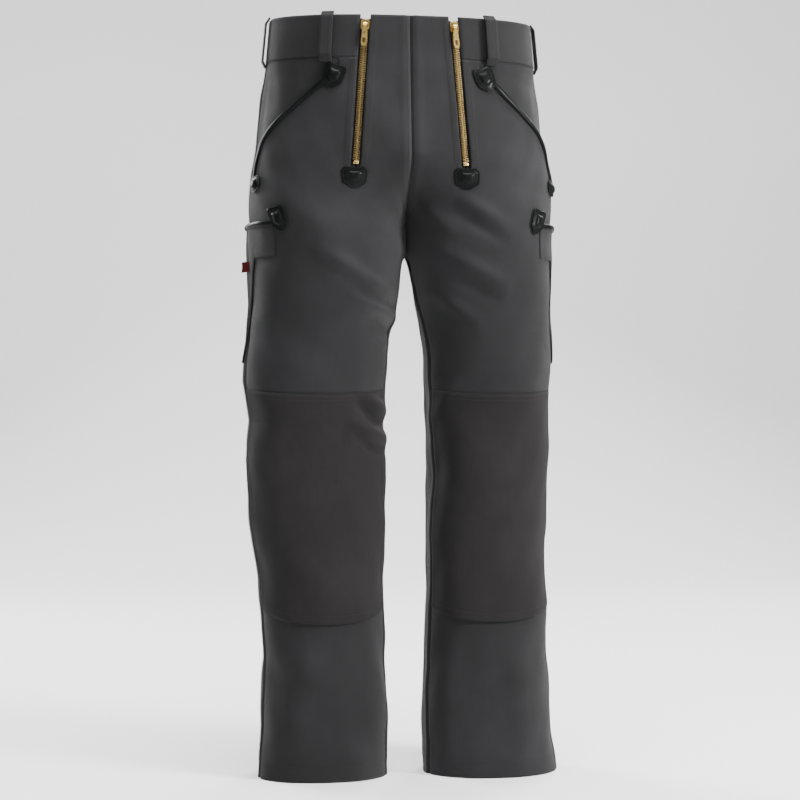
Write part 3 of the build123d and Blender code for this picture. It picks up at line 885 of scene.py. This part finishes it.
def buildPatch(side, key):
    plan = patchPlan[key]
    outline = shieldOutline(plan["width"], plan["height"])
    turn = math.radians(plan["turn"])
    spin = np.array([[math.cos(turn), -math.sin(turn)], [math.sin(turn), math.cos(turn)]])
    # rings from the skived edge over the stitched border to the moulded middle
    rings = [(1.0, -0.3), (1.0, 0.3), (0.995, 0.8), (0.97, 1.2), (0.92, 1.4), (0.86, 1.1), (0.81, 1.0),
             (0.76, 1.4), (0.7, 1.7), (0.62, 1.7), (0.56, 1.9), (0.5, 2.7), (0.43, 3.6), (0.34, 4.2),
             (0.22, 4.5), (0.1, 4.6)]
    bm = bmesh.new()
    layer = bm.loops.layers.uv.new("clothUv")
    made = []
    for scale, height in rings:
        flat = (outline * scale) @ spin.T
        points = onCloth(side, plan, flat[:, 0], flat[:, 1], plan["lift"] + height)
        made.append([bm.verts.new(p * mm) for p in points])
    ringFaces(bm, made)
    bm.faces.new(made[-1])
    bmesh.ops.recalc_face_normals(bm, faces=bm.faces)
    for face in bm.faces:
        for loop in face.loops:
            loop[layer].uv = (loop.vert.co.x, loop.vert.co.z)
    s = sideName(side)
    addPiece(f"{key}_patch_{s}", bm, "leather", "black_leather", f"{plan['node']}_{s}")
    loop = np.concatenate([outline, outline[:1]]) * 0.86 @ spin.T
    points = onCloth(side, plan, loop[:, 0], loop[:, 1], plan["lift"] + 1.35)
    outer = onCloth(side, plan, loop[:, 0], loop[:, 1], plan["lift"] + 2.35)
    addStitches("blackThread", points, outer - points, 2.4, 1.7)


pocketThickness = 1.3
kneePatch = {"low": 243.0, "sag": 20.0, "top": 554.0, "dip": 8.0, "start": 0.052, "end": 0.463,
             "gape": 2.4}


def kneeLevels(phi, share):
    across = np.clip((phi - kneePatch["start"]) / (kneePatch["end"] - kneePatch["start"]), 0, 1)
    low = kneePatch["low"] - kneePatch["sag"] * np.sin(np.pi * across) ** 0.8
    top = kneePatch["top"] - kneePatch["dip"] * np.sin(np.pi * across)
    return between(low, top, share), across


def kneeLift(across, share):
    middle = ease(np.minimum(across, 1 - across), 0.06, 0.3)
    return 1.2 + middle * (1.2 + kneePatch["gape"] * (1 - share) ** 8)


def buildKneePatch(side):
    phis, share = spread((kneePatch["start"], kneePatch["end"], 81), (0, 1, 91))
    levels, across = kneeLevels(phis, share)
    edge = np.minimum(np.minimum(across, 1 - across) * 230, (1 - share) * 310)
    ridge = 0.5 * bump(edge, 5, 3) - 0.9 * bump(edge, 0, 1.5)
    s = sideName(side)
    addCloth(f"knee_pocket_{s}", clothGrid(side, phis, levels, kneeLift(across, share) + ridge),
             (f"knee_patch_{s}",), pocketThickness, material="knee", slot="knee_cloth")
    line = np.linspace(kneePatch["start"] + 0.008, kneePatch["end"] - 0.008, 120)
    upDown = np.linspace(0.01, 0.99, 120)
    rows = [(line, 1 - 0.012), (line, 1 - 0.03), (line, 0.035)]
    for inset in (0.012, 0.036):
        for edgeShare in (inset, 1 - inset):
            rows.append((np.full(120, between(kneePatch["start"], kneePatch["end"], edgeShare)), upDown))
    for phi, share in rows:
        levels, beside = kneeLevels(phi, share)
        stitchCloth(side, phi, levels, kneeLift(beside, share) + 0.35)


sidePocket = {"start": 0.375, "end": 0.66, "low": 590.0, "top": 786.0, "puff": 3.2, "cutAway": 148.0}


def sidePocketFoot(across):
    return sidePocket["low"] + sidePocket["cutAway"] * (1 - ease(across, 0.26, 0.36))


def buildSidePocket(side):
    # long pocket for a folding ruler, its front lower corner cut away on a slant
    start, end, puff = sidePocket["start"], sidePocket["end"], sidePocket["puff"]
    phis, share = spread((start, end, 61), (0, 1, 61))
    across = (phis - start) / (end - start)
    levels = between(sidePocketFoot(across), sidePocket["top"], share)
    rise = ease(np.minimum(across, 1 - across), 0.0, 0.16)
    lift = 1.3 + puff * rise * (0.35 + 0.65 * share)
    s = sideName(side)
    addCloth(f"ruler_pocket_{s}", clothGrid(side, phis, levels, lift), (f"side_pocket_{s}",),
             pocketThickness)
    line = np.linspace(0.02, 0.98, 90)
    for inset in doubleRow:
        stitchCloth(side, between(start, end, line), sidePocketFoot(line) + inset, 1.8 + puff * 0.3)
    top = np.full(60, sidePocket["top"] - 2)
    bandPhi = np.linspace(start - 0.012, end + 0.005, 60)
    bandAcross = np.clip((bandPhi - start) / (end - start), 0, 1)
    bandLift = 1.6 + puff * ease(np.minimum(bandAcross, 1 - bandAcross), 0, 0.16)
    bm = sweep(skin(side, bandPhi, top, bandLift), normalAt(side, bandPhi, top), oval(8.0, 4.0, 0.4))
    addPiece(f"ruler_binding_{s}", bm, "leather", "black_leather", f"side_pocket_binding_{s}")


backPocket = {"inner": 58.0, "outer": 164.0, "taper": 6.0, "low": 806.0, "top": 955.0, "point": 16.0}


def seatPocketPlace(across, share):
    # across from the outer to the inner edge, share from the pointed foot to the mouth
    foot = backPocket["low"] - backPocket["point"] * (1 - np.abs(2 * across - 1))
    level = between(foot, backPocket["top"], share)
    inset = backPocket["taper"] * (1 - share)
    outer, inner = backPocket["outer"] - inset, backPocket["inner"] + inset
    lift = 1.3 + 2.6 * ease(np.minimum(across, 1 - across), 0.0, 0.2) * (0.2 + 0.8 * share)
    return phiOfX(between(outer, inner, across), level, True), level, lift


def buildBackPocket(side):
    phis, levels, lift = seatPocketPlace(*spread((0, 1, 51), (0, 1, 51)))
    s = sideName(side)
    addCloth(f"seat_pocket_{s}", clothGrid(side, phis, levels, lift), (f"back_pocket_{s}",),
             pocketThickness)
    line = np.linspace(0.02, 0.98, 80)
    for inset in (0.02, 0.075):
        for across, share in ((inset, line), (1 - inset, line), (line, inset * 0.7),
                              (line, 1 - 0.02 - inset)):
            phis, levels, lift = seatPocketPlace(across + 0 * line, share + 0 * line)
            stitchCloth(side, phis, levels, lift + 0.5)


beltLoop = {"width": 18.0, "height": 72.0, "thickness": 2.2}


def buildBeltLoop(name, side, phi, stand, node):
    # a folded strap: tacked flat at both ends and bowed clear of the band between them
    middle = bodyForm["waist"] - 32
    share = np.linspace(0, 1, 41)
    rows = (share - 0.5) * beltLoop["height"]
    bow = np.clip(np.minimum(share, 1 - share) / 0.13, 0, 1)
    lift = 2.9 + stand * ease(bow, 0, 1)
    across = np.linspace(-0.5, 0.5, 9) * beltLoop["width"]
    crown = 0.5 * (1 - (2 * across / beltLoop["width"]) ** 4)
    here = skin(side, phi, middle, 0, False)
    up = skin(side, phi, middle + 15, 0, False) - skin(side, phi, middle - 15, 0, False)
    beside = skin(side, phi + 0.01, middle, 0, False) - skin(side, phi - 0.01, middle, 0, False)
    up, beside = up / np.linalg.norm(up), beside / np.linalg.norm(beside)
    out = np.cross(beside, up) * side
    points = (here + up * rows[:, None, None] + beside * across[None, :, None]
              + out * (lift[:, None, None] + crown[None, :, None]))
    uvs = flatUv(across[None, :], rows[:, None])
    piece = addPiece(name, gridBmesh(side, points, uvs), "cloth", "main_cloth", node)
    thicken(piece, beltLoop["thickness"])
    soften(piece, 0.5)
    normals = np.tile(out, (len(rows), 1))
    for shift in (-5.6, 5.6):
        row = here + up * rows[:, None] + beside * shift + out * (lift[:, None] + 0.7)
        addStitches("thread", row, normals)
    for end in (-1, 1):
        for bar in np.arange(0, 4.5, 0.9):
            line = np.linspace(-7.5, 7.5, 9)[:, None]
            height = end * (beltLoop["height"] / 2 - 1.5 - bar)
            row = here + up * height + beside * line + out * 3.6
            addStitches("thread", row, np.tile(out, (9, 1)), 1.7, 1.8)


def zipFrame(side):
    # the chain's own axes, from the joints: up the chain, across it and out of the cloth
    s = sideName(side)
    up = -Vector(joints[f"zip_slide_{s}"]["axis"])
    hinge = joints[f"zip_puller_hinge_{s}"]
    out = Vector(hinge["axis"]).cross(up)
    if out.y > 0:
        out = -out
    across = up.cross(out)
    return Matrix.Translation(Vector(hinge["pos_m"])) @ Matrix((across, up, out)).transposed().to_4x4()


zipChain = {"bailHeight": 4.9, "pitch": 3.2, "belowBail": 197.0, "aboveBail": 6.0, "tooth": 4.5}


def placed(bm, place):
    # shapes drawn on the chain's axes in their place on the garment
    mesh = toMesh(bm, "zipPart")
    mesh.transform(place)
    return mesh


def boxInto(bm, across, up, out):
    corners = [(x, y, z) for x in sorted(across) for y in up for z in out]
    verts = [bm.verts.new(Vector(c) * mm) for c in corners]
    for face in ((0, 1, 3, 2), (4, 6, 7, 5), (0, 4, 5, 1), (2, 3, 7, 6), (0, 2, 6, 4), (1, 5, 7, 3)):
        bm.faces.new([verts[i] for i in face])


def buildZip(side):
    s = sideName(side)
    place = zipFrame(side)
    base = -zipChain["bailHeight"] + zipLine["tape"]
    bottom, top = -zipChain["belowBail"], zipChain["aboveBail"]
    for label, direction in (("inner", -side), ("outer", side)):
        bm = bmesh.new()
        offset = zipChain["pitch"] / 2 if label == "outer" else 0.0
        y = bottom + 5 + offset
        while y < top - 1:
            boxInto(bm, (-direction * 0.9, direction * zipChain["tooth"]), (y, y + 1.5),
                    (base + 0.1, base + 2.7))
            # the nib that locks into the next tooth
            boxInto(bm, (-direction * 0.9, direction), (y + 0.3, y + 1.2), (base + 2.6, base + 3.0))
            y += zipChain["pitch"]
        teeth = addPiece(f"chain_{label}_{s}", placed(bm, place), "chain", "zip_brass",
                         f"zip_{label}_teeth_{s}")
        soften(teeth, 0.35)
        # woven tape with a thicker cord under the teeth
        profile = [(1.2, 0.0), (1.4, 0.6), (2.6, 0.7), (3.4, 0.1), (14.5, 0.1), (14.5, -0.6), (1.4, -0.6)]
        rows = np.linspace(bottom - 6, top + 4, 40)
        bm = bmesh.new()
        layer = bm.loops.layers.uv.new("clothUv")
        rings = [[bm.verts.new(Vector((direction * a, y, base + b - 0.75)) * mm) for a, b in profile]
                 for y in rows]
        for _, _, face in ringFaces(bm, rings):
            for loop in face.loops:
                loop[layer].uv = (loop.vert.co.x, loop.vert.co.y)
        bm.faces.new(rings[0][::-1])
        bm.faces.new(rings[-1])
        bmesh.ops.recalc_face_normals(bm, faces=bm.faces)
        addPiece(f"tape_{label}_{s}", placed(bm, place), "tape", "zip_tape", f"zip_{label}_tape_{s}",
                 smooth=False)
    bm = bmesh.new()
    boxInto(bm, (-3.6, 3.6), (bottom + 0.5, bottom + 4.5), (base, base + 3.1))
    for direction in (-1, 1):
        boxInto(bm, (direction * 1.7, direction * 4.3), (top - 0.5, top + 2.8), (base, base + 3.0))
    soften(addPiece(f"chain_stops_{s}", placed(bm, place), "brass", "zip_brass", f"zip_stops_{s}"), 0.6, 3)
    # guard cloth behind the zip
    rows, columns = np.linspace(bottom - 8, top + 2, 50), np.linspace(-19, 19, 13)
    points = np.zeros((50, 13, 3))
    points[:, :, 0] = columns[None, :] * side
    points[:, :, 1] = rows[:, None]
    points[:, :, 2] = base - 4.4 + 0.6 * np.sin(rows[:, None] * 0.05 + columns[None, :] * 0.1)
    bm = gridBmesh(side, points, flatUv(columns[None, :], rows[:, None]))
    addCloth(f"zip_guard_{s}", placed(bm, place), (f"zip_shield_{s}",), liningThickness,
             material="lining", slot="lining")


def buildLabel():
    # folded into the side seam, its free end curling a little
    rows, columns = np.linspace(719.5, 734.5, 12), np.linspace(0, 1, 12)
    root = skin(-1, np.full(12, outseamPhi(727.0)), rows, 0.5)[:, None, :]
    reach = 15.0 * columns[None, :]
    sway = 2.4 * np.sin(columns[None, :] * 2.4) + 0.5 * np.sin(rows[:, None] * 0.4)
    points = root + np.stack([-reach + 0 * sway, sway, 0 * sway - 1.5 * columns[None, :] ** 2], axis=-1)
    bm = gridBmesh(1, points, flatUv(reach, rows[:, None]))
    thicken(addPiece("woven_tab", bm, "label", "label", "flag_label_right"), 1.0)


# Where the belt loops sit round the waist and how far they stand off, in mm
loopPlaces = {"front": (float(phiOfX(115, 1048)), 7.2), "side": (0.5, 4.4), "back": (0.85, 7.2)}

for side in (1, -1):
    buildFrontCloth(side)
    buildBackCloth(side)
    buildWaistband(side)
    buildLinings(side)
    buildHipFacing(side)
    buildPiping(side)
    for key in patchPlan:
        buildPatch(side, key)
    buildKneePatch(side)
    buildSidePocket(side)
    buildBackPocket(side)
    s = sideName(side)
    for label, (phi, stand) in loopPlaces.items():
        buildBeltLoop(f"loop_{label}_{s}", side, phi, stand, f"{label}_belt_loop_{s}")
    buildZip(side)
    print("stage: built the", s, "side")
buildBeltLoop("loop_centre", 1, 1.0, 5.2, "centre_belt_loop")
buildLabel()
buildStitches()
for node, piece in frame["nodes"].items():
    if node.startswith(("zip_slider", "zip_puller")):
        piece.data.materials.clear()
        piece.data.materials.append(materials["brass"])
print("stage: pieces built")

studio = {"cameraTurn": -8.0, "distance": 2.6, "height": 0.545, "lens": 80.6, "aim": (0.0, 0.0, 0.5372),
          "worldLight": 0.42}


def placeInScene(name, data):
    thing = bpy.data.objects.new(name, data)
    bpy.context.scene.collection.objects.link(thing)
    return thing


def aimAt(thing, place, target):
    thing.location = place
    thing.rotation_euler = (Vector(target) - thing.location).to_track_quat("-Z", "Y").to_euler()


def buildStudio():
    # a pale sweep: floor, bend and wall in one sheet
    profile = [(-6.0, 0.0), (2.4, 0.0)]
    bend = np.linspace(0.1, math.pi / 2, 14)
    profile += [(2.4 + 1.6 * math.sin(a), 1.6 - 1.6 * math.cos(a)) for a in bend]
    profile.append((4.0, 6.0))
    bm = bmesh.new()
    rows = [[bm.verts.new((x, y, z)) for x in (-7.0, 7.0)] for y, z in profile]
    for first, second in zip(rows, rows[1:]):
        bm.faces.new([first[0], first[1], second[1], second[0]])
    mesh = toMesh(bm, "studioSweep")
    mesh.materials.append(newMaterial("paleSweep", 0.8, Base_Color=(0.86, 0.86, 0.86, 1))[0])
    mesh.shade_smooth()
    placeInScene("studio_sweep", mesh)
    for name, place, size, power, colour in (
        ("keyLight", (2.4, -1.8, 1.45), 0.9, 235, (1.0, 0.99, 0.98)),
        ("fillLight", (-2.4, -2.4, 1.0), 1.6, 34, (0.98, 0.99, 1.0)),
        ("rimLight", (-1.8, 2.0, 1.8), 1.2, 130, (1.0, 1.0, 1.0)),
        ("topLight", (0.2, -0.5, 2.8), 1.4, 110, (1.0, 1.0, 1.0)),
        ("backLight", (1.6, 2.2, 2.4), 1.6, 120, (1.0, 1.0, 1.0)),
    ):
        light = bpy.data.lights.new(name, "AREA")
        light.size = size
        light.energy = power
        light.color = colour
        aimAt(placeInScene(name, light), place, (0, 0, 0.6))
    world = bpy.data.worlds.new("studioWorld")
    world.use_nodes = True
    background = world.node_tree.nodes["Background"]
    background.inputs["Color"].default_value = (1, 1, 1, 1)
    background.inputs["Strength"].default_value = studio["worldLight"]
    bpy.context.scene.world = world
    camera = bpy.data.cameras.new("camera")
    camera.lens = studio["lens"]
    view = placeInScene("camera", camera)
    turn, distance = math.radians(studio["cameraTurn"]), studio["distance"]
    aimAt(view, (distance * math.sin(turn), -distance * math.cos(turn), studio["height"]), studio["aim"])
    bpy.context.scene.camera = view


buildStudio()
bpy.context.view_layer.update()
